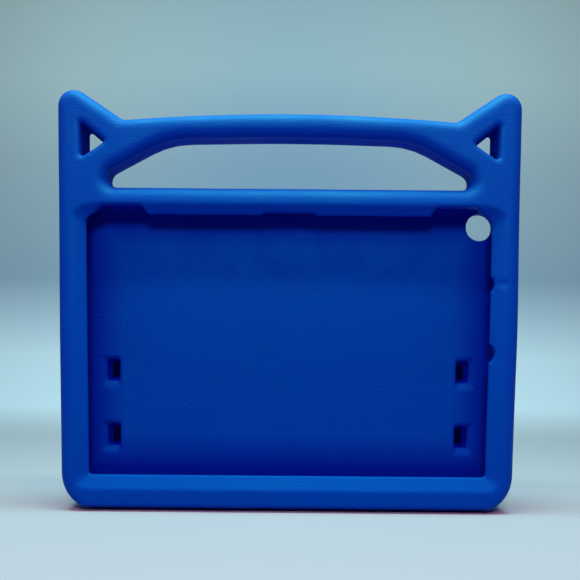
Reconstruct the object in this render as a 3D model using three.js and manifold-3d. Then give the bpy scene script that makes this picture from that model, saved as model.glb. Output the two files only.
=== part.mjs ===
// A children's tablet case: moulded foam in one piece, with a pocket, a carry handle and two ears
// Millimetres. X runs to the right seen from the front, Y from front to back, Z up from the bottom edge

import * as THREE from 'three';
import { mergeVertices } from 'three/addons/utils/BufferGeometryUtils.js';
import Module from 'manifold-3d';

const wasm = await Module();
wasm.setup();

// The tablet and the play around it
const TABLET_WIDTH = 247;
const TABLET_HEIGHT = 166;
const TABLET_THICKNESS = 9.2;
const TABLET_PLAY = 0.5;
const TABLET_DEPTH_PLAY = 0.3;
const POCKET_CORNER_RADIUS = 8;

// Foam around the pocket
const SIDE_RIM = 12.2;
const BOTTOM_RIM = 16.5;
const TOP_RAIL = 9.7;
const BACK_WALL = 6.5;

// The lip that holds the tablet in, set back behind the front face by a bevel
const LIP_SETBACK = 4;
const LIP_THICKNESS = 2;
const SIDE_LIP = 4.3;
const BOTTOM_LIP = 5.2;
const TOP_LIP = 6.6;
const LIP_BOTTOM_CORNER_RADIUS = 1.5;
const LIP_TOP_CORNER_RADIUS = 4.5;
const SIDE_BEVEL = 7.3;
const BOTTOM_BEVEL = 8.2;
const TOP_BEVEL = 5;
const BEVEL_BOTTOM_CORNER = 6;
const BEVEL_TOP_CORNER_WIDTH = 14;
const BEVEL_TOP_CORNER_HEIGHT = 8;

// Handle and the opening under it
const HAND_GAP = 28.5;
const HANDLE_HEIGHT = 14;
const HANDLE_DROP = 4.1;
const HANDLE_STRAIGHT_END = 9;
const OPENING_POST = 29.4;
const OPENING_END_HEIGHT = 8.7;
const OPENING_SHOULDER = 64.2;
const OPENING_SHOULDER_DROP = 1.3;
const OPENING_END_RADIUS = 4.5;
const OPENING_SHOULDER_RADIUS = 50;
const OPENING_STRAIGHT_END = 30;

// Ears
const EAR_WIDTH = 38.3;
const EAR_SLOPE = THREE.MathUtils.degToRad(33.5);
const EAR_CORNER_RADIUS = 9.8;
const VALLEY_RADIUS = 5;
const EAR_HOLE_OUTER_WALL = 14.4;
const EAR_HOLE_WIDTH = 14;
const EAR_HOLE_HEIGHT = 20.8;
const EAR_HOLE_POINT_HEIGHT = 9.4;
const EAR_HOLE_RISE = 15.4;
const EAR_HOLE_CORNER_RADIUS = 0.9;

// Rounding of the edges
const BODY_CORNER_RADIUS = 23;
const BODY_ROUND = 5.5;
const BOTTOM_ROUND = 3.8;
const TOP_ROUND = 8.8;
const RAIL_ROUND = 8.8;
const GRIP_ROUND = 6.2;
const EAR_HOLE_ROUND = 2.8;

// At the back of the handle and the ears the rounding is this many times deeper than it is wide
const BACK_STRETCH = 2.2;

// The slant under the front of the bottom edge
const BOTTOM_SLANT_HEIGHT = 3.6;
const BOTTOM_SLANT_DEPTH = 8;

// Cuts in the lip
const LIP_NOTCH_SIDE = 14.2;
const LIP_NOTCH_WIDTH = 23.3;
const LIP_NOTCH_INNER_FLARE = 4.1;
const LIP_NOTCH_OUTER_FLARE = 7.9;
const LIP_NOTCH_WALL = 1.8;
const CENTRE_NOTCH_WIDTH = 32;
const CENTRE_NOTCH_DEPTH = 1.2;
const SCOOP_HEIGHT = 121;
const SCOOP_RADIUS = 7.5;
const SCOOP_REACH = 9;
const SCOOP_DEPTH = 4;
const PLUG_NOTCH_RADIUS = 6;
const PLUG_NOTCH_DEPTH = 2;
const JACK_NOTCH_HEIGHT = 80;
const JACK_NOTCH_RADIUS = 6.8;
const JACK_NOTCH_DEPTH = 3;

// Holes in the pocket floor
const CAMERA_HOLE_DIAMETER = 16.5;
const CAMERA_SIDE = 7.8;
const CAMERA_DROP = 9.8;
const SLOT_WIDTH = 7.4;
const SLOT_HEIGHT = 13;
const SLOT_CORNER_RADIUS = 2;
const SLOT_SKIN = 1.2;
const SLOT_SIDE = 16.2;
const SLOT_HEIGHTS = [28, 68.5];
const SLOT_MOUTH_MARGIN = 2.1;
const SLOT_LEDGE = 4.6;
const SLOT_MOUTH_DEPTH = 2.2;
const SLOT_MOUTH_SHIFT = 1.4;

// How finely curves are divided, and how far a cut passes the face it opens
const ARC_STEP_ANGLE = THREE.MathUtils.degToRad(9);
const ARC_STEP_SHORTEST = 0.6;
const ARC_STEP_LONGEST = 8;
const CORNER_DIVISIONS = 3;
const ROUND_STEPS = 6;
const HOLE_SIDES = 32;
const OVERCUT = 2;

const FOAM_BLUE = 0x034a98;

// Of the handle's height, the roundings above and below may take these shares and leave a flat between them
const TOP_ROUND_SHARE = 0.5;
const GRIP_ROUND_SHARE = 0.38;

// Overall sizes and places that follow from the values above
const pocketHalfWidth = TABLET_WIDTH / 2 + TABLET_PLAY;
const pocketBottom = BOTTOM_RIM;
const pocketTop = pocketBottom + TABLET_HEIGHT + 2 * TABLET_PLAY;
const bodyHalfWidth = pocketHalfWidth + SIDE_RIM;
const lipBack = LIP_SETBACK + LIP_THICKNESS;
const floorDepth = lipBack + TABLET_THICKNESS + TABLET_DEPTH_PLAY;
const bodyDepth = floorDepth + BACK_WALL;
const lip = {
  halfWidth: pocketHalfWidth - SIDE_LIP,
  bottom: pocketBottom + BOTTOM_LIP,
  top: pocketTop - TOP_LIP,
};
const openingBottom = pocketTop + TOP_RAIL;
const openingTop = openingBottom + HAND_GAP;
const openingHalfWidth = bodyHalfWidth - OPENING_POST;
const shoulderX = bodyHalfWidth - OPENING_SHOULDER;
const handleTop = openingTop + HANDLE_HEIGHT;
const valleyX = bodyHalfWidth - EAR_WIDTH;
const valleyZ = handleTop - HANDLE_DROP;
const earCornerZ = valleyZ + EAR_WIDTH * Math.tan(EAR_SLOPE);
const topRound = Math.min(TOP_ROUND, TOP_ROUND_SHARE * HANDLE_HEIGHT);
const gripRound = Math.min(GRIP_ROUND, GRIP_ROUND_SHARE * HANDLE_HEIGHT);

// The middle corner of an arch between two feet, straight at its ends and rounded to a given peak
function archCorner(peak, footX, footZ, straightEnd) {
  const reach = footX - straightEnd;
  const rise = (peak - footZ) / (1 - reach / (2 * footX));
  return [0, footZ + rise, reach * footX / rise];
}

// An outline through corners [x, z, radius], counterclockwise from the front, each rounded by its own radius
function roundedOutline(corners) {
  const points = corners.flatMap(([x, z, radius], i) => {
    const [beforeX, beforeZ] = corners.at(i - 1);
    const [afterX, afterZ] = corners[(i + 1) % corners.length];
    const arrive = new THREE.Vector2(x - beforeX, z - beforeZ).normalize();
    const leave = new THREE.Vector2(afterX - x, afterZ - z).normalize();
    const turn = Math.atan2(arrive.cross(leave), arrive.dot(leave));
    const length = Math.abs(turn) * radius;
    const byAngle = Math.min(Math.abs(turn) / ARC_STEP_ANGLE, length / ARC_STEP_SHORTEST);
    const steps = Math.ceil(Math.max(byAngle, length / ARC_STEP_LONGEST));
    const start = new THREE.Vector2(x, z).addScaledVector(arrive, -radius * Math.tan(Math.abs(turn) / 2));
    const fromCentre = new THREE.Vector2(arrive.y, -arrive.x).multiplyScalar(Math.sign(turn) * radius);
    const centre = start.clone().sub(fromCentre);
    return Array.from({ length: steps + 1 }, (_, step) => (
      centre.clone().add(fromCentre).rotateAround(centre, turn * step / steps)
    ));
  });
  return new THREE.Shape(points);
}

// A rectangle with round or oval corners, given as [width, height] at the bottom and at the top
function rectangleOutline(halfWidth, bottom, top, bottomCorner, topCorner) {
  const outline = new THREE.Shape();
  const quarter = Math.PI / 2;
  const [lowX, lowZ] = bottomCorner;
  const [highX, highZ] = topCorner;
  outline.absellipse(halfWidth - lowX, bottom + lowZ, lowX, lowZ, -quarter, 0, false, 0);
  outline.absellipse(halfWidth - highX, top - highZ, highX, highZ, 0, quarter, false, 0);
  outline.absellipse(highX - halfWidth, top - highZ, highX, highZ, quarter, 2 * quarter, false, 0);
  outline.absellipse(lowX - halfWidth, bottom + lowZ, lowX, lowZ, 2 * quarter, 3 * quarter, false, 0);
  return outline;
}

// The points of an outline, without its last one where that repeats the first
function outlinePoints(outline) {
  const points = outline.getPoints(CORNER_DIVISIONS);
  if (points.at(-1).distanceTo(points[0]) < 1e-6) {
    points.pop();
  }
  return points;
}

// A closed solid through levels, each a list of loops of 3-D points that keep the foam on their left in front
function stackedGeometry(levels) {
  const positions = [];
  const index = [];
  const starts = levels.map((loops) => loops.map((loop) => {
    const start = positions.length / 3;
    loop.forEach((point) => positions.push(point.x, point.y, point.z));
    return start;
  }));
  for (let level = 0; level + 1 < levels.length; level += 1) {
    levels[level].forEach((loop, l) => {
      const near = starts[level][l];
      const far = starts[level + 1][l];
      loop.forEach((_, i) => {
        const next = (i + 1) % loop.length;
        index.push(near + i, far + next, near + next, near + i, far + i, far + next);
      });
    });
  }
  [0, levels.length - 1].forEach((level) => {
    const [contour, ...holes] = levels[level].map((loop) => loop.map(({ x, z }) => new THREE.Vector2(x, z)));
    const flat = [contour, ...holes].flat();
    const facesFront = level === 0;
    THREE.ShapeUtils.triangulateShape(contour, holes).forEach(([a, b, c]) => {
      const counterclockwise = THREE.ShapeUtils.area([flat[a], flat[b], flat[c]]) > 0;
      const ordered = counterclockwise === facesFront ? [a, b, c] : [a, c, b];
      index.push(...ordered.map((i) => starts[level][0] + i));
    });
  });
  const geometry = new THREE.BufferGeometry();
  geometry.setAttribute('position', new THREE.Float32BufferAttribute(positions, 3));
  geometry.setIndex(index);
  return geometry;
}

// A loop moved into the foam by an inset and back from the front by a depth, both given for each point
function movedLoop(points, insetAt, depthAt) {
  return points.map((point, i) => {
    const arrive = point.clone().sub(points.at(i - 1)).normalize();
    const leave = points[(i + 1) % points.length].clone().sub(point).normalize();
    const inward = new THREE.Vector2(-arrive.y - leave.y, arrive.x + leave.x);
    inward.divideScalar(1 + arrive.dot(leave));
    const inset = insetAt(point);
    return new THREE.Vector3(point.x + inward.x * inset, depthAt(point), point.y + inward.y * inset);
  });
}

// A plate with its front face at depth 0. Its edges are an outline and a rounding radius that may change
// from point to point, first for the outer edge and then for each hole. At the back the rounding is deeper
// than it is wide, by a stretch given for each point
function softPlate(edges, depth, backStretchAt) {
  const loops = edges.map(({ outline }) => outlinePoints(outline));
  loops.slice(1).forEach((hole) => hole.reverse());
  const levels = [];
  [true, false].forEach((front) => {
    for (let step = 0; step <= ROUND_STEPS; step += 1) {
      const angle = (Math.PI / 2) * (front ? step : ROUND_STEPS - step) / ROUND_STEPS;
      levels.push(loops.map((points, l) => {
        const { radiusAt } = edges[l];
        const insetAt = (point) => radiusAt(point) * (1 - Math.sin(angle));
        const backReachAt = (point) => (
          Math.min(radiusAt(point) * backStretchAt(point), 0.98 * depth - radiusAt(point))
        );
        const frontDepthAt = (point) => radiusAt(point) * (1 - Math.cos(angle));
        const backDepthAt = (point) => depth - backReachAt(point) * (1 - Math.cos(angle));
        return movedLoop(points, insetAt, front ? frontDepthAt : backDepthAt);
      }));
    }
  });
  return stackedGeometry(levels);
}

// A solid between outlines of equal point counts, each at its own depth and moved sideways by its own shift
function taperedGeometry(sections) {
  return stackedGeometry(sections.map(([outline, depth, shift = 0]) => [
    outlinePoints(outline).map((point) => new THREE.Vector3(point.x + shift, depth, point.y)),
  ]));
}

// An outline carried straight back from one depth to another
function slabGeometry(outline, from, to) {
  const geometry = new THREE.ExtrudeGeometry(outline, {
    depth: to - from,
    bevelEnabled: false,
    curveSegments: CORNER_DIVISIONS,
  });
  return geometry.rotateX(Math.PI / 2).translate(0, to, 0);
}

function toSolid(geometry) {
  geometry.deleteAttribute('normal');
  geometry.deleteAttribute('uv');
  const merged = mergeVertices(geometry);
  return new wasm.Manifold(new wasm.Mesh({
    numProp: 3,
    vertProperties: Float32Array.from(merged.attributes.position.array),
    triVerts: Uint32Array.from(merged.index.array),
  }));
}

function toGeometry(solid) {
  const { vertProperties, triVerts } = solid.getMesh();
  const geometry = new THREE.BufferGeometry();
  geometry.setAttribute('position', new THREE.BufferAttribute(vertProperties, 3));
  geometry.setIndex(new THREE.BufferAttribute(triVerts, 1));
  geometry.computeVertexNormals();
  return geometry;
}

// Right-hand corners and their mirror images, counterclockwise around the middle
function mirrored(rightCorners) {
  const leftCorners = rightCorners.map(([x, z, radius]) => [-x, z, radius]).reverse();
  return [...rightCorners, ...leftCorners];
}

// The outer outline with the handle's arch between the ears
function caseOutline() {
  const right = [
    [bodyHalfWidth, 0, BODY_CORNER_RADIUS],
    [bodyHalfWidth, earCornerZ, EAR_CORNER_RADIUS],
    [valleyX, valleyZ, VALLEY_RADIUS],
  ];
  const left = mirrored(right).slice(right.length);
  return roundedOutline([...right, archCorner(handleTop, valleyX, valleyZ, HANDLE_STRAIGHT_END), ...left]);
}

// The opening for the hand: flat below, slanted at the ends, arched above
function openingOutline() {
  const shoulderZ = openingTop - OPENING_SHOULDER_DROP;
  const right = [
    [openingHalfWidth, openingBottom, OPENING_END_RADIUS],
    [openingHalfWidth, openingBottom + OPENING_END_HEIGHT, OPENING_END_RADIUS],
    [shoulderX, shoulderZ, OPENING_SHOULDER_RADIUS],
  ];
  const left = mirrored(right).slice(right.length);
  const arch = archCorner(openingTop, shoulderX, shoulderZ, OPENING_STRAIGHT_END);
  return roundedOutline([...right, arch, ...left]);
}

// The three-cornered hole in an ear, on the right for side 1 and on the left for side -1
function earHoleOutline(side) {
  const outerX = bodyHalfWidth - EAR_HOLE_OUTER_WALL;
  const bottomZ = openingBottom + EAR_HOLE_RISE;
  const corners = [
    [outerX, bottomZ, EAR_HOLE_CORNER_RADIUS],
    [outerX, bottomZ + EAR_HOLE_HEIGHT, EAR_HOLE_CORNER_RADIUS],
    [outerX - EAR_HOLE_WIDTH, bottomZ + EAR_HOLE_POINT_HEIGHT, EAR_HOLE_CORNER_RADIUS],
  ];
  const placed = corners.map(([x, z, radius]) => [side * x, z, radius]);
  return roundedOutline(side > 0 ? placed : placed.reverse());
}

// The edges grow softer from the bottom up the corners, and again up to the ears and the handle
function edgeRoundAt(point) {
  const lower = THREE.MathUtils.smoothstep(point.y, 0, BODY_CORNER_RADIUS);
  const upper = THREE.MathUtils.smoothstep(point.y, openingBottom, valleyZ);
  return THREE.MathUtils.lerp(THREE.MathUtils.lerp(BOTTOM_ROUND, BODY_ROUND, lower), topRound, upper);
}

// Inside the hand opening the rail below is rounded more than the grip above
function openingRoundAt(point) {
  const rise = THREE.MathUtils.smoothstep(point.y, openingBottom, openingBottom + OPENING_END_HEIGHT);
  return THREE.MathUtils.lerp(RAIL_ROUND, gripRound, rise);
}

// The back of the body is rounded evenly, the back of the handle and the ears more deeply
function backStretchAt(point) {
  const rise = THREE.MathUtils.smoothstep(point.y, openingBottom, openingBottom + OPENING_END_HEIGHT);
  return THREE.MathUtils.lerp(1, BACK_STRETCH, rise);
}

// The case before the pocket and the other recesses are cut into it
function blank() {
  const edges = [
    { outline: caseOutline(), radiusAt: edgeRoundAt },
    { outline: openingOutline(), radiusAt: openingRoundAt },
    { outline: earHoleOutline(1), radiusAt: () => EAR_HOLE_ROUND },
    { outline: earHoleOutline(-1), radiusAt: () => EAR_HOLE_ROUND },
  ];
  return toSolid(softPlate(edges, bodyDepth, backStretchAt));
}

// What is cut off under the front of the bottom edge, where the case slants back to its foot
function bottomSlant() {
  const slope = Math.atan2(BOTTOM_SLANT_HEIGHT, BOTTOM_SLANT_DEPTH);
  const length = 2 * (bodyHalfWidth + OVERCUT);
  const depth = 2 * (BOTTOM_SLANT_DEPTH + OVERCUT);
  const cutter = new THREE.BoxGeometry(length, depth, depth);
  cutter.translate(0, 0, -depth / 2);
  return toSolid(cutter.rotateX(-slope).translate(0, 0, BOTTOM_SLANT_HEIGHT));
}

// The space for the tablet, with the bevel that leads into it over the lip
function pocket() {
  const mouth = rectangleOutline(
    lip.halfWidth,
    lip.bottom,
    lip.top,
    [LIP_BOTTOM_CORNER_RADIUS, LIP_BOTTOM_CORNER_RADIUS],
    [LIP_TOP_CORNER_RADIUS, LIP_TOP_CORNER_RADIUS],
  );
  const rim = rectangleOutline(
    lip.halfWidth + SIDE_BEVEL,
    lip.bottom - BOTTOM_BEVEL,
    lip.top + TOP_BEVEL,
    [BEVEL_BOTTOM_CORNER, BEVEL_BOTTOM_CORNER],
    [BEVEL_TOP_CORNER_WIDTH, BEVEL_TOP_CORNER_HEIGHT],
  );
  const wallCorner = [POCKET_CORNER_RADIUS, POCKET_CORNER_RADIUS];
  const wall = rectangleOutline(pocketHalfWidth, pocketBottom, pocketTop, wallCorner, wallCorner);
  const bevel = toSolid(taperedGeometry([
    [rim, -OVERCUT],
    [rim, 0],
    [mouth, LIP_SETBACK],
    [mouth, lipBack + OVERCUT],
  ]));
  return bevel.add(toSolid(slabGeometry(wall, lipBack, floorDepth)));
}

// The two wide notches and the shallow middle one along the upper lip
function topLipNotches() {
  const notchTop = pocketTop - LIP_NOTCH_WALL;
  const outerX = pocketHalfWidth - LIP_NOTCH_SIDE;
  const innerX = outerX - LIP_NOTCH_WIDTH;
  const low = lip.top - OVERCUT;
  const centre = new THREE.Shape([
    new THREE.Vector2(-CENTRE_NOTCH_WIDTH / 2, low),
    new THREE.Vector2(CENTRE_NOTCH_WIDTH / 2, low),
    new THREE.Vector2(CENTRE_NOTCH_WIDTH / 2, lip.top + CENTRE_NOTCH_DEPTH),
    new THREE.Vector2(-CENTRE_NOTCH_WIDTH / 2, lip.top + CENTRE_NOTCH_DEPTH),
  ]);
  const wide = [1, -1].map((side) => new THREE.Shape([
    new THREE.Vector2(side * (innerX - LIP_NOTCH_INNER_FLARE), low),
    new THREE.Vector2(side * (outerX + LIP_NOTCH_OUTER_FLARE), low),
    new THREE.Vector2(side * outerX, notchTop),
    new THREE.Vector2(side * innerX, notchTop),
  ]));
  return [centre, ...wide].map((shape) => toSolid(slabGeometry(shape, -OVERCUT, lipBack + OVERCUT)));
}

// The shallow scoop for the charging plug, which runs out over the right rim
function plugScoop() {
  const tilt = Math.atan2(SCOOP_DEPTH, SCOOP_REACH);
  const middleX = lip.halfWidth + SCOOP_REACH / 2;
  const cutter = new THREE.CylinderGeometry(SCOOP_RADIUS, SCOOP_RADIUS, 4 * SCOOP_REACH, HOLE_SIDES);
  cutter.rotateZ(-Math.PI / 2 - tilt);
  cutter.translate(
    middleX - SCOOP_RADIUS * Math.sin(tilt),
    SCOOP_DEPTH / 2 - SCOOP_RADIUS * Math.cos(tilt),
    pocketBottom + SCOOP_HEIGHT,
  );
  return toSolid(cutter);
}

// A round notch in the right lip in front of a socket of the tablet
function socketNotch(height, radius, depth) {
  const length = lipBack + 2 * OVERCUT;
  const cutter = new THREE.CylinderGeometry(radius, radius, length, HOLE_SIDES);
  cutter.translate(lip.halfWidth + depth - radius, length / 2 - OVERCUT, pocketBottom + height);
  return toSolid(cutter);
}

// The hole behind the tablet's camera
function cameraHole() {
  const radius = CAMERA_HOLE_DIAMETER / 2;
  const length = BACK_WALL + 2 * OVERCUT;
  const cutter = new THREE.CylinderGeometry(radius, radius, length, HOLE_SIDES);
  cutter.translate(pocketHalfWidth - CAMERA_SIDE, floorDepth + BACK_WALL / 2, pocketTop - CAMERA_DROP);
  return toSolid(cutter);
}

// A deep blind slot in the pocket floor, in a sloping mouth that reaches further outwards and down
function slotAt(side, height) {
  const corner = [SLOT_CORNER_RADIUS, SLOT_CORNER_RADIUS];
  const bottom = pocketBottom + height - SLOT_HEIGHT / 2;
  const top = bottom + SLOT_HEIGHT;
  const core = rectangleOutline(SLOT_WIDTH / 2, bottom, top, corner, corner);
  const mouth = rectangleOutline(
    SLOT_WIDTH / 2 + SLOT_MOUTH_MARGIN,
    bottom - SLOT_LEDGE,
    top + SLOT_MOUTH_MARGIN,
    corner,
    corner,
  );
  const shift = side * SLOT_MOUTH_SHIFT;
  const slot = taperedGeometry([
    [mouth, floorDepth - OVERCUT, shift],
    [mouth, floorDepth, shift],
    [core, floorDepth + SLOT_MOUTH_DEPTH],
    [core, bodyDepth - SLOT_SKIN],
  ]);
  return toSolid(slot.translate(side * (pocketHalfWidth - SLOT_SIDE), 0, 0));
}

const slots = [1, -1].flatMap((side) => SLOT_HEIGHTS.map((height) => slotAt(side, height)));
const plugNotch = socketNotch(SCOOP_HEIGHT, PLUG_NOTCH_RADIUS, PLUG_NOTCH_DEPTH);
const jackNotch = socketNotch(JACK_NOTCH_HEIGHT, JACK_NOTCH_RADIUS, JACK_NOTCH_DEPTH);
const recesses = [pocket(), ...topLipNotches(), plugScoop(), plugNotch, jackNotch, cameraHole(), ...slots];
const shell = [...recesses, bottomSlant()].reduce((solid, cut) => solid.subtract(cut), blank());

const foam = new THREE.MeshStandardMaterial({ color: FOAM_BLUE, roughness: 0.8, metalness: 0 });
const caseShell = new THREE.Mesh(toGeometry(shell), foam);
caseShell.name = 'case_shell';
caseShell.position.y = -bodyDepth / 2;

const tabletCase = new THREE.Group();
tabletCase.add(caseShell);

export default tabletCase;
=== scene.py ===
"""Looks of the children's tablet case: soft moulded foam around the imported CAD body.

Lengths are metres in the CAD's frame: the front faces -Y and the case stands on Z = 0.
"""

import math

import bmesh
import bpy
import numpy as np
from mathutils import Matrix, Vector


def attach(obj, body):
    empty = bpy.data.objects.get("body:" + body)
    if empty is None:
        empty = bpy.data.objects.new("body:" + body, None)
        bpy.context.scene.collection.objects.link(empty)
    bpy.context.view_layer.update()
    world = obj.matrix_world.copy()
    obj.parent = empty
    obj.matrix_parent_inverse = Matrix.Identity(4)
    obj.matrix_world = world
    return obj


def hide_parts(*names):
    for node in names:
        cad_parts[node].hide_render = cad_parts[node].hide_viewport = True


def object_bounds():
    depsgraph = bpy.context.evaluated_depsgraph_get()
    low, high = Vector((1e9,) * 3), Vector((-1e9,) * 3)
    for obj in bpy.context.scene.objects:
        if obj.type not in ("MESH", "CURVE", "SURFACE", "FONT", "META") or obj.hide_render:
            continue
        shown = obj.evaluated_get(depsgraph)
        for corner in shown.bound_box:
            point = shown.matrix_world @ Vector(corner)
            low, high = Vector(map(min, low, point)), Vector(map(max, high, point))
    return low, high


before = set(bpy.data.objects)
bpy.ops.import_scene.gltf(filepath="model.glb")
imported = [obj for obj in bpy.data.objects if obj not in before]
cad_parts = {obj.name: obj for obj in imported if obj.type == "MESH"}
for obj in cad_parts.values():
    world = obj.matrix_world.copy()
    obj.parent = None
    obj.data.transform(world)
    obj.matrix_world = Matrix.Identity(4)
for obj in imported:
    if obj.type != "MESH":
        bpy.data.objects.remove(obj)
cad_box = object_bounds()

# Camera, as the photograph's perspective gives it
CAMERA_PLACE = (0.0014, -0.351, 0.090)
CAMERA_PITCH = 87
CAMERA_ROLL = 0.5
SENSOR_WIDTH = 36
IMAGE_PIXELS = 580
FOCAL_PIXELS = 575
SHIFT_PIXELS = 103
NEAR_CLIP = 0.01
FAR_CLIP = 20

# Each lamp: its place, size, power in watts and colour
LAMPS = {
    "front_lamp": ((0, -0.70, 0.61), (0.30, 0.20), 3.5, (0.75, 0.66, 1.0)),
    "high_lamp": ((0, -0.26, 1.0), (0.8, 0.09), 6.2, (0.45, 1.0, 0.72)),
    "top_lamp": ((0, -0.055, 1.0), (0.8, 0.16), 10.6, (0.25, 1.0, 0.86)),
}
LAMPS_AIM = (0, 0, 0.12)
SKY_SEEN = (0.14, 0.20, 0.24)

# The foam's mesh
VOXEL = 0.0007
SOFT_FACTOR = 0.5
SOFT_STEPS = 9
MOST_TRIANGLES = 185000
WELD_REACH = 1e-6

# Places on the case
FRONT_Y = cad_box[0][1]
BACK_Y = cad_box[1][1]
POCKET_FLOOR_Y = 0.0045
POCKET_HALF_WIDTH = 0.124
POCKET_BOTTOM = 0.0165
POCKET_TOP = 0.1835

SLOT_HEIGHTS = (0.0445, 0.085)
SLOT_HALF_HEIGHT = 0.0065
SLOT_INNER_X = 0.1035
SLOT_OUTER_X = 0.1115

EAR_HOLE_INNER_X = 0.1075
EAR_HOLE_OUTER_X = 0.1225
EAR_HOLE_BOTTOM = 0.205
EAR_HOLE_TOP = 0.234

# The bow of the pocket floor: how far it comes forward, at what height, and its flat margins
FLOOR_BOW = 0.0014
BOW_HEIGHT = 0.125
BOW_SIDE_MARGIN = 0.004
BOW_SIDE_RISE = 0.04
BOW_BOTTOM_MARGIN = 0.002
BOW_TOP_MARGIN = 0.004
BOW_FADE_START = 0.003
BOW_FADE_END = 0.001

# The swell of the sides
SWELL_LEFT = 0.0003
SWELL_RIGHT = 0.0008
SWELL_START_X = 0.100
SWELL_FULL_X = 0.136
SWELL_HEIGHT = 0.112
SWELL_REACH = 0.045

# Slow waves over the front and back: each one's share, its turns along X and Z, and its start
WAVE_HEIGHT = 0.00016
WAVES = ((0.5, 61, 17, 0.7), (0.3, -90, 43, 2.1), (0.2, 140, 121, 4.0))

# Foam colours, linear: two tones of the foam itself, a deeper blue painted as shade along the pocket's
# edges and in the slots, and a near black painted as shade in the slot cores
FOAM_DEEP = (0.0004, 0.034, 0.38)
FOAM_LIGHT = (0.0008, 0.046, 0.44)
FOAM_PAINTED_SHADE = (0.0004, 0.007, 0.31)
SLOT_PAINTED_SHADE = (0.0006, 0.0012, 0.030)

# How much each texture shifts the foam's colour from deep to light
CLOUD_SHARE = 0.6
LINE_SHARE = 0.35
GRAIN_SHARE = 0.25

# Painted shade inside the pocket, a deeper blue under its lips and along its sides and bottom: how far in
# from each edge it ends, and where it is full
EDGE_AT_SIDE = (0.0235, 0.001)
EDGE_AT_BOTTOM = (0.030, 0.008)
EDGE_AT_TOP = (0.024, 0.006)

# How softly the masks end, and how far they reach in depth
POCKET_SOFT = 0.002
SLOT_SOFT = 0.0013
HOLE_SOFT = 0.001
FLOOR_DEPTH = 0.0009
FLOOR_DEPTH_SOFT = 0.0004
POCKET_DEPTH = 0.006
POCKET_BACKING = 0.002
POCKET_DEPTH_SOFT = 0.001
CORE_INSET = 0.0023
SLOT_DARK_START = 0.0002
SLOT_DARK_FULL = 0.0020
SLOT_BACKING_END = 0.0006
SLOT_BACKING_START = 0.001
HOLE_START = 0.0015
HOLE_FULL = 0.0025
BEHIND_START = 0.004
BEHIND_FULL = 0.007

# The foam's shine, and how much of it each place loses
SHINE = 0.5
SHINE_TINT = (0.02, 1.0, 0.40)
DULL_UNDERNEATH = 0.45
DULL_BEHIND = 0.9
DULL_POCKET_EDGE = 0.8
FACES_DOWN_FULLY = -0.8
FACES_DOWN_A_LITTLE = -0.3
ROUGHNESS_RANGE = (0.56, 0.68)
ROUGHNESS_CLOUDS = (0.3, 0.7)

# Foam textures: how finely each repeats in a metre, how high it stands and how strong its relief is
FINE_DETAIL = 3.0
FINE_ROUGH = 0.6
FLECK_STRETCH = (520, 520, 1150)
FLECK_LEVELS = (0.40, 0.62)
FLECK_HEIGHT = 0.00022
FLECK_RELIEF = 0.8
LINE_STRETCH = (90, 90, 1500)
LINE_HEIGHT = 0.00015
LINE_RELIEF = 0.8
GRAIN_SCALE = 1500
GRAIN_HEIGHT = 0.00010
GRAIN_RELIEF = 0.7
CLOUD_SCALE = 38

# Where the flecks are faint: in patches, and low down in the pocket
PATCH_SCALE = 75
PATCH_LEVELS = (0.38, 0.62)
PATCH_FAINT = 0.25
FLECKS_FAINT_BELOW = 0.055
FLECKS_FULL_ABOVE = 0.10
FLECKS_FAINT = 0.4

# Shape of the backdrop
TABLE_FRONT = -2.5
SWEEP_START = 0.26
SWEEP_RADIUS = 0.45
SWEEP_STEPS = 16
WALL_TOP = 2.5
STUDIO_HALF_WIDTH = 3.0

# Colours of the backdrop as it is seen, linear, with light and shade painted in: the far table and the top
# of the wall lighter, the low wall and a patch behind the case darker; and the colours in which it throws
# light back
FLOOR_PALE = (0.71, 0.39, 0.475)
FLOOR_FAR = (1.0, 0.61, 0.76)
WALL_LOW = (0.50, 0.335, 0.46)
WALL_HIGH = (0.90, 0.56, 0.62)
WALL_PAINTED_SHADE = (0.40, 0.31, 0.475)
FLOOR_BOUNCE = (0.07, 0.12, 0.36)
WALL_BOUNCE = (0.30, 0.42, 0.75)
STUDIO_ROUGHNESS = 0.8
STUDIO_SHINE = 0.2

# Heights between which the backdrop changes from one colour to the next, and with it its painted light and
# shade
FAR_HEIGHTS = (0.005, 0.03)
LOW_HEIGHTS = (0.10, 0.23)
HIGH_HEIGHTS = (0.25, 0.60)
MIDDLE_HALF_WIDTH = 0.50
MIDDLE_FADE_HEIGHTS = (0.42, 0.62)
MIDDLE_STRENGTHS = (0.9, 0.45)


def set_camera():
    """A camera low in front of the case, tipped down a little and rolled half a degree."""
    camera_data = bpy.data.cameras.new("camera")
    camera_data.sensor_width = SENSOR_WIDTH
    camera_data.lens = SENSOR_WIDTH * FOCAL_PIXELS / IMAGE_PIXELS
    camera_data.shift_y = SHIFT_PIXELS / IMAGE_PIXELS
    camera_data.clip_start = NEAR_CLIP
    camera_data.clip_end = FAR_CLIP
    camera = bpy.data.objects.new("camera", camera_data)
    pitch = Matrix.Rotation(math.radians(CAMERA_PITCH), 4, "X")
    roll = Matrix.Rotation(math.radians(CAMERA_ROLL), 4, "Z")
    camera.matrix_world = Matrix.Translation(CAMERA_PLACE) @ pitch @ roll
    bpy.context.scene.collection.objects.link(camera)
    bpy.context.scene.camera = camera


def set_lights():
    """Soft lamps that face the case: one in front and above, one higher, one nearly overhead."""
    for name, (place, size, power, colour) in LAMPS.items():
        light = bpy.data.lights.new(name, "AREA")
        light.shape = "RECTANGLE"
        light.size, light.size_y = size
        light.energy = power
        light.color = colour
        lamp = bpy.data.objects.new(name, light)
        lamp.location = place
        lamp.rotation_euler = (Vector(LAMPS_AIM) - Vector(place)).to_track_quat("-Z", "Y").to_euler()
        bpy.context.scene.collection.objects.link(lamp)


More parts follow.
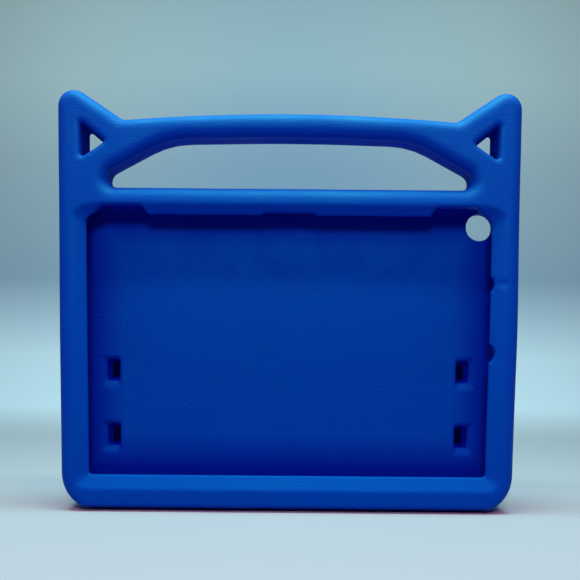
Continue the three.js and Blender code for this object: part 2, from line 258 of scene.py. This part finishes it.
class Nodes:
    """Short calls for building a node tree."""

    def __init__(self, tree):
        self.tree = tree

    def add(self, kind, inputs=None, **settings):
        node = self.tree.nodes.new(kind)
        for name, value in settings.items():
            setattr(node, name, value)
        for socket, value in (inputs or {}).items():
            self.connect(value, node.inputs[socket])
        return node

    def connect(self, value, socket):
        """Link a socket, or a node's first output, or set a plain value."""
        if isinstance(value, bpy.types.NodeSocket):
            self.tree.links.new(value, socket)
        elif isinstance(value, bpy.types.Node):
            self.tree.links.new(value.outputs[0], socket)
        else:
            socket.default_value = value

    def split(self, vector):
        return self.add("ShaderNodeSeparateXYZ", {"Vector": vector}).outputs

    def math(self, operation, *values, clamp=False):
        node = self.add("ShaderNodeMath", operation=operation, use_clamp=clamp)
        for socket, value in zip(node.inputs, values):
            self.connect(value, socket)
        return node

    def product(self, first, *others):
        for other in others:
            first = self.math("MULTIPLY", first, other)
        return first

    def largest(self, first, *others):
        for other in others:
            first = self.math("MAXIMUM", first, other)
        return first

    def opposite(self, mask):
        return self.math("SUBTRACT", 1.0, mask)

    def ramp(self, value, low, high, low_out=0.0, high_out=1.0):
        """From low_out at low to high_out at high, and level beyond them."""
        inputs = {"From Min": low, "From Max": high, "To Min": low_out, "To Max": high_out}
        return self.add("ShaderNodeMapRange", {"Value": value, **inputs})

    def band(self, value, low, high, soft):
        """1 between low and high, falling to 0 over soft on either side."""
        up = self.ramp(value, low - soft, low)
        down = self.ramp(value, high, high + soft)
        return self.product(up, self.opposite(down))

    def noise(self, vector, scale=1, detail=2.0, stretch=(1, 1, 1), rough=0.5):
        mapping = self.add("ShaderNodeMapping", {"Vector": vector, "Scale": stretch})
        inputs = {"Vector": mapping, "Scale": scale, "Detail": detail, "Roughness": rough}
        return self.add("ShaderNodeTexNoise", inputs)

    def mix(self, factor, first, second):
        """From the first colour at 0 to the second at 1."""
        node = self.add("ShaderNodeMix", data_type="RGBA")
        colours = [s for s in node.inputs if s.type == "RGBA"]
        self.connect(factor, node.inputs["Factor"])
        self.connect(first, colours[0])
        self.connect(second, colours[1])
        return next(s for s in node.outputs if s.type == "RGBA")

    def bump(self, height, distance, strength, below=None):
        """A relief of the given height, laid over the relief below it."""
        inputs = {"Height": height, "Distance": distance, "Strength": strength}
        if below:
            inputs["Normal"] = below
        return self.add("ShaderNodeBump", inputs)


def seen_rays(n):
    """1 where a ray comes from the camera, straight or mirrored, and 0 where it only carries light."""
    rays = n.add("ShaderNodeLightPath").outputs
    return n.largest(rays["Is Camera Ray"], rays["Is Glossy Ray"], rays["Is Transmission Ray"])


def set_sky():
    """A pale sky to look at, which lights nothing."""
    world = bpy.data.worlds.new("sky")
    world.use_nodes = True
    n = Nodes(world.node_tree)
    background = world.node_tree.nodes["Background"]
    background.inputs["Color"].default_value = (*SKY_SEEN, 1)
    n.connect(seen_rays(n), background.inputs["Strength"])
    bpy.context.scene.world = world


def pocket_masks(n, x, y, z):
    """1 on the pocket floor, 1 anywhere inside the pocket, and 1 in there along its edge, where shade is
    painted.
    """
    width = n.band(x, -POCKET_HALF_WIDTH, POCKET_HALF_WIDTH, POCKET_SOFT)
    outline = n.product(width, n.band(z, POCKET_BOTTOM, POCKET_TOP, POCKET_SOFT))
    floor_depth = n.band(y, POCKET_FLOOR_Y - FLOOR_DEPTH, POCKET_FLOOR_Y + FLOOR_DEPTH, FLOOR_DEPTH_SOFT)
    depth = n.band(y, POCKET_FLOOR_Y - POCKET_DEPTH, BACK_Y - POCKET_BACKING, POCKET_DEPTH_SOFT)
    inside = n.product(depth, outline)

    far, near = EDGE_AT_SIDE
    at_side = n.ramp(n.math("ABSOLUTE", x), POCKET_HALF_WIDTH - far, POCKET_HALF_WIDTH - near)
    far, near = EDGE_AT_BOTTOM
    at_bottom = n.ramp(z, POCKET_BOTTOM + near, POCKET_BOTTOM + far, 1.0, 0.0)
    far, near = EDGE_AT_TOP
    at_top = n.ramp(z, POCKET_TOP - far, POCKET_TOP - near)
    edge = n.product(n.largest(at_side, at_bottom, at_top), inside)
    return n.product(floor_depth, outline), inside, edge


def slot_mask(n, aside, y, z, inset):
    """1 inside each slot, below its mouth and within its outline drawn in by inset."""
    depth = n.ramp(y, POCKET_FLOOR_Y + SLOT_DARK_START, POCKET_FLOOR_Y + SLOT_DARK_FULL)
    backing = n.ramp(y, BACK_Y - SLOT_BACKING_START, BACK_Y - SLOT_BACKING_END, 1.0, 0.0)
    width = n.band(aside, SLOT_INNER_X + inset, SLOT_OUTER_X - inset, SLOT_SOFT)
    half = SLOT_HALF_HEIGHT - inset
    lower, upper = (n.band(z, h - half, h + half, SLOT_SOFT) for h in SLOT_HEIGHTS)
    return n.product(depth, backing, width, n.largest(lower, upper))


def ear_hole_mask(n, aside, y, z):
    """1 inside both ear holes, behind their rounded rims."""
    depth = n.ramp(y, FRONT_Y + HOLE_START, FRONT_Y + HOLE_FULL)
    width = n.band(aside, EAR_HOLE_INNER_X, EAR_HOLE_OUTER_X, HOLE_SOFT)
    height = n.band(z, EAR_HOLE_BOTTOM, EAR_HOLE_TOP, HOLE_SOFT)
    return n.product(depth, width, height)


def foam_material():
    """Closed-cell foam: fine grain, faint moulding lines, and small flecks in the pocket floor, with shade
    painted into its colour along the pocket's edges and in the slots.
    """
    material = bpy.data.materials.new("foam")
    material.use_nodes = True
    shader = material.node_tree.nodes["Principled BSDF"]
    n = Nodes(material.node_tree)
    place = n.add("ShaderNodeTexCoord").outputs["Object"]
    x, y, z = n.split(place)
    aside = n.math("ABSOLUTE", x)

    pocket_floor, inside, pocket_shade_edge = pocket_masks(n, x, y, z)
    slots = slot_mask(n, aside, y, z, 0.0)
    slot_shade_cores = slot_mask(n, aside, y, z, CORE_INSET)

    flecks = n.ramp(n.noise(place, stretch=FLECK_STRETCH, rough=FINE_ROUGH), *FLECK_LEVELS)
    patchy = n.ramp(n.noise(place, PATCH_SCALE, FINE_DETAIL), *PATCH_LEVELS, PATCH_FAINT, 1.0)
    low_down = n.ramp(z, FLECKS_FAINT_BELOW, FLECKS_FULL_ABOVE, FLECKS_FAINT, 1.0)
    flecks = n.product(flecks, patchy, pocket_floor, low_down)
    lines = n.product(n.noise(place, stretch=LINE_STRETCH), n.opposite(pocket_floor))
    grain = n.noise(place, GRAIN_SCALE, FINE_DETAIL, rough=FINE_ROUGH)
    cloud = n.noise(place, CLOUD_SCALE, FINE_DETAIL)

    tone = n.math("ADD", n.product(cloud, CLOUD_SHARE), n.product(lines, LINE_SHARE))
    tone = n.math("ADD", tone, n.product(grain, GRAIN_SHARE), clamp=True)
    colour = n.mix(tone, (*FOAM_DEEP, 1), (*FOAM_LIGHT, 1))
    # painted shade: a deeper blue along the pocket's edges, under its lips, and over the slots
    colour = n.mix(pocket_shade_edge, colour, (*FOAM_PAINTED_SHADE, 1))
    colour = n.mix(slots, colour, (*FOAM_PAINTED_SHADE, 1))
    # painted shade: the slot cores painted nearly black
    colour = n.mix(slot_shade_cores, colour, (*SLOT_PAINTED_SHADE, 1))
    n.connect(colour, shader.inputs["Base Color"])

    facing_up = n.split(n.add("ShaderNodeNewGeometry").outputs["Normal"])[2]
    underneath = n.ramp(facing_up, FACES_DOWN_FULLY, FACES_DOWN_A_LITTLE, DULL_UNDERNEATH, 0.0)
    behind = n.ramp(y, FRONT_Y + BEHIND_START, FRONT_Y + BEHIND_FULL, 0.0, DULL_BEHIND)
    behind = n.product(behind, n.opposite(inside))
    dull_edge = n.product(pocket_shade_edge, DULL_POCKET_EDGE)
    dull = n.largest(underneath, behind, slots, ear_hole_mask(n, aside, y, z), dull_edge)
    n.connect(n.ramp(dull, 0.0, 1.0, SHINE, 0.0), shader.inputs["Specular IOR Level"])
    roughness = n.ramp(cloud, *ROUGHNESS_CLOUDS, *ROUGHNESS_RANGE)
    n.connect(roughness, shader.inputs["Roughness"])
    shader.inputs["Specular Tint"].default_value = (*SHINE_TINT, 1)

    relief = n.bump(flecks, FLECK_HEIGHT, FLECK_RELIEF)
    relief = n.bump(lines, LINE_HEIGHT, LINE_RELIEF, relief)
    relief = n.bump(grain, GRAIN_HEIGHT, GRAIN_RELIEF, relief)
    n.connect(relief, shader.inputs["Normal"])
    return material


def applied(obj):
    """The mesh of an object with its modifiers applied, which are then removed."""
    depsgraph = bpy.context.evaluated_depsgraph_get()
    mesh = bpy.data.meshes.new_from_object(obj.evaluated_get(depsgraph), depsgraph=depsgraph)
    obj.modifiers.clear()
    obj.data = mesh
    return mesh


def smooth_step(value, low, high):
    """From 0 at low to 1 at high, without a corner at either end."""
    t = np.clip((value - low) / (high - low), 0, 1)
    return t * t * (3 - 2 * t)


def uneven(points):
    """How far the foam stands off its mould at each point: its waves, bowed floor and full sides."""
    x, y, z = points.T
    out = np.zeros_like(points)
    waves = sum(share * np.sin(along * x + up * z + start) for share, along, up, start in WAVES)
    out[:, 1] = WAVE_HEIGHT * waves

    bow = smooth_step(POCKET_HALF_WIDTH - BOW_SIDE_MARGIN - np.abs(x), 0, BOW_SIDE_RISE)
    rising = smooth_step(z, POCKET_BOTTOM + BOW_BOTTOM_MARGIN, BOW_HEIGHT)
    falling = smooth_step(-z, BOW_TOP_MARGIN - POCKET_TOP, -BOW_HEIGHT)
    bow *= rising * falling
    on_floor = smooth_step(y, POCKET_FLOOR_Y - BOW_FADE_START, POCKET_FLOOR_Y - BOW_FADE_END)
    out[:, 1] -= FLOOR_BOW * bow * on_floor

    side = np.sign(x) * smooth_step(np.abs(x), SWELL_START_X, SWELL_FULL_X)
    belly = np.exp(-(((z - SWELL_HEIGHT) / SWELL_REACH) ** 2))
    out[:, 0] = side * belly * np.where(x > 0, SWELL_RIGHT, SWELL_LEFT)
    return out


def foam_case():
    """The visible case: the CAD body with every edge softened as foam moulds it."""
    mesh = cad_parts["case_shell"].data.copy()
    welded = bmesh.new()
    welded.from_mesh(mesh)
    bmesh.ops.remove_doubles(welded, verts=welded.verts, dist=WELD_REACH)
    welded.to_mesh(mesh)
    welded.free()
    case = bpy.data.objects.new("foam_case", mesh)
    bpy.context.scene.collection.objects.link(case)

    remesh = case.modifiers.new("even_faces", "REMESH")
    remesh.mode = "VOXEL"
    remesh.voxel_size = VOXEL
    soften = case.modifiers.new("soft_edges", "SMOOTH")
    soften.factor = SOFT_FACTOR
    soften.iterations = SOFT_STEPS
    mesh = applied(case)

    points = np.empty(len(mesh.vertices) * 3, np.float32)
    mesh.vertices.foreach_get("co", points)
    points = points.reshape(-1, 3)
    points = points + uneven(points)
    mesh.vertices.foreach_set("co", points.astype(np.float32).ravel())
    mesh.update()

    triangles = sum(len(p.vertices) - 2 for p in mesh.polygons)
    thin_out = case.modifiers.new("fewer_faces", "DECIMATE")
    thin_out.ratio = min(1.0, MOST_TRIANGLES / triangles)
    mesh = applied(case)
    mesh.polygons.foreach_set("use_smooth", np.ones(len(mesh.polygons), bool))
    mesh.materials.clear()
    mesh.materials.append(foam_material())

    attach(case, "root")
    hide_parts("case_shell")


def studio_material():
    """Pale table and wall with light and shade painted in, a darker patch behind the case, and a blue cast
    in what they throw back.
    """
    material = bpy.data.materials.new("studio")
    material.use_nodes = True
    shader = material.node_tree.nodes["Principled BSDF"]
    shader.inputs["Roughness"].default_value = STUDIO_ROUGHNESS
    shader.inputs["Specular IOR Level"].default_value = STUDIO_SHINE

    n = Nodes(material.node_tree)
    x, _, height = n.split(n.add("ShaderNodeTexCoord").outputs["Object"])
    # painted light and shade: the seen colour changes with height, lighter far back and high up, darker
    # low on the wall
    at_wall = n.ramp(height, *LOW_HEIGHTS)
    seen = n.mix(n.ramp(height, *FAR_HEIGHTS), (*FLOOR_PALE, 1), (*FLOOR_FAR, 1))
    seen = n.mix(at_wall, seen, (*WALL_LOW, 1))
    seen = n.mix(n.ramp(height, *HIGH_HEIGHTS), seen, (*WALL_HIGH, 1))

    # painted shade: a darker patch on the wall behind the case
    middle = n.ramp(n.math("ABSOLUTE", x), 0.0, MIDDLE_HALF_WIDTH, 1.0, 0.0)
    middle.interpolation_type = "SMOOTHSTEP"
    fade = n.ramp(height, *MIDDLE_FADE_HEIGHTS, *MIDDLE_STRENGTHS)
    seen = n.mix(n.product(middle, at_wall, fade), seen, (*WALL_PAINTED_SHADE, 1))

    bounce = n.mix(at_wall, (*FLOOR_BOUNCE, 1), (*WALL_BOUNCE, 1))
    n.connect(n.mix(seen_rays(n), bounce, seen), shader.inputs["Base Color"])
    return material


def studio():
    """A table top that sweeps up softly into a wall behind."""
    profile = [(TABLE_FRONT, 0.0), (SWEEP_START, 0.0)]
    for step in range(1, SWEEP_STEPS + 1):
        angle = math.pi / 2 * step / SWEEP_STEPS
        back = SWEEP_START + SWEEP_RADIUS * math.sin(angle)
        profile.append((back, SWEEP_RADIUS * (1 - math.cos(angle))))
    profile.append((SWEEP_START + SWEEP_RADIUS, WALL_TOP))

    mesh = bpy.data.meshes.new("studio")
    vertices = [(x, y, z) for y, z in profile for x in (-STUDIO_HALF_WIDTH, STUDIO_HALF_WIDTH)]
    faces = [(2 * i, 2 * i + 1, 2 * i + 3, 2 * i + 2) for i in range(len(profile) - 1)]
    mesh.from_pydata(vertices, [], faces)
    mesh.polygons.foreach_set("use_smooth", np.ones(len(faces), bool))
    mesh.materials.append(studio_material())
    sweep = bpy.data.objects.new("studio", mesh)
    bpy.context.scene.collection.objects.link(sweep)


set_camera()
set_lights()
set_sky()
studio()
foam_case()

bpy.context.scene.view_settings.view_transform = "Standard"
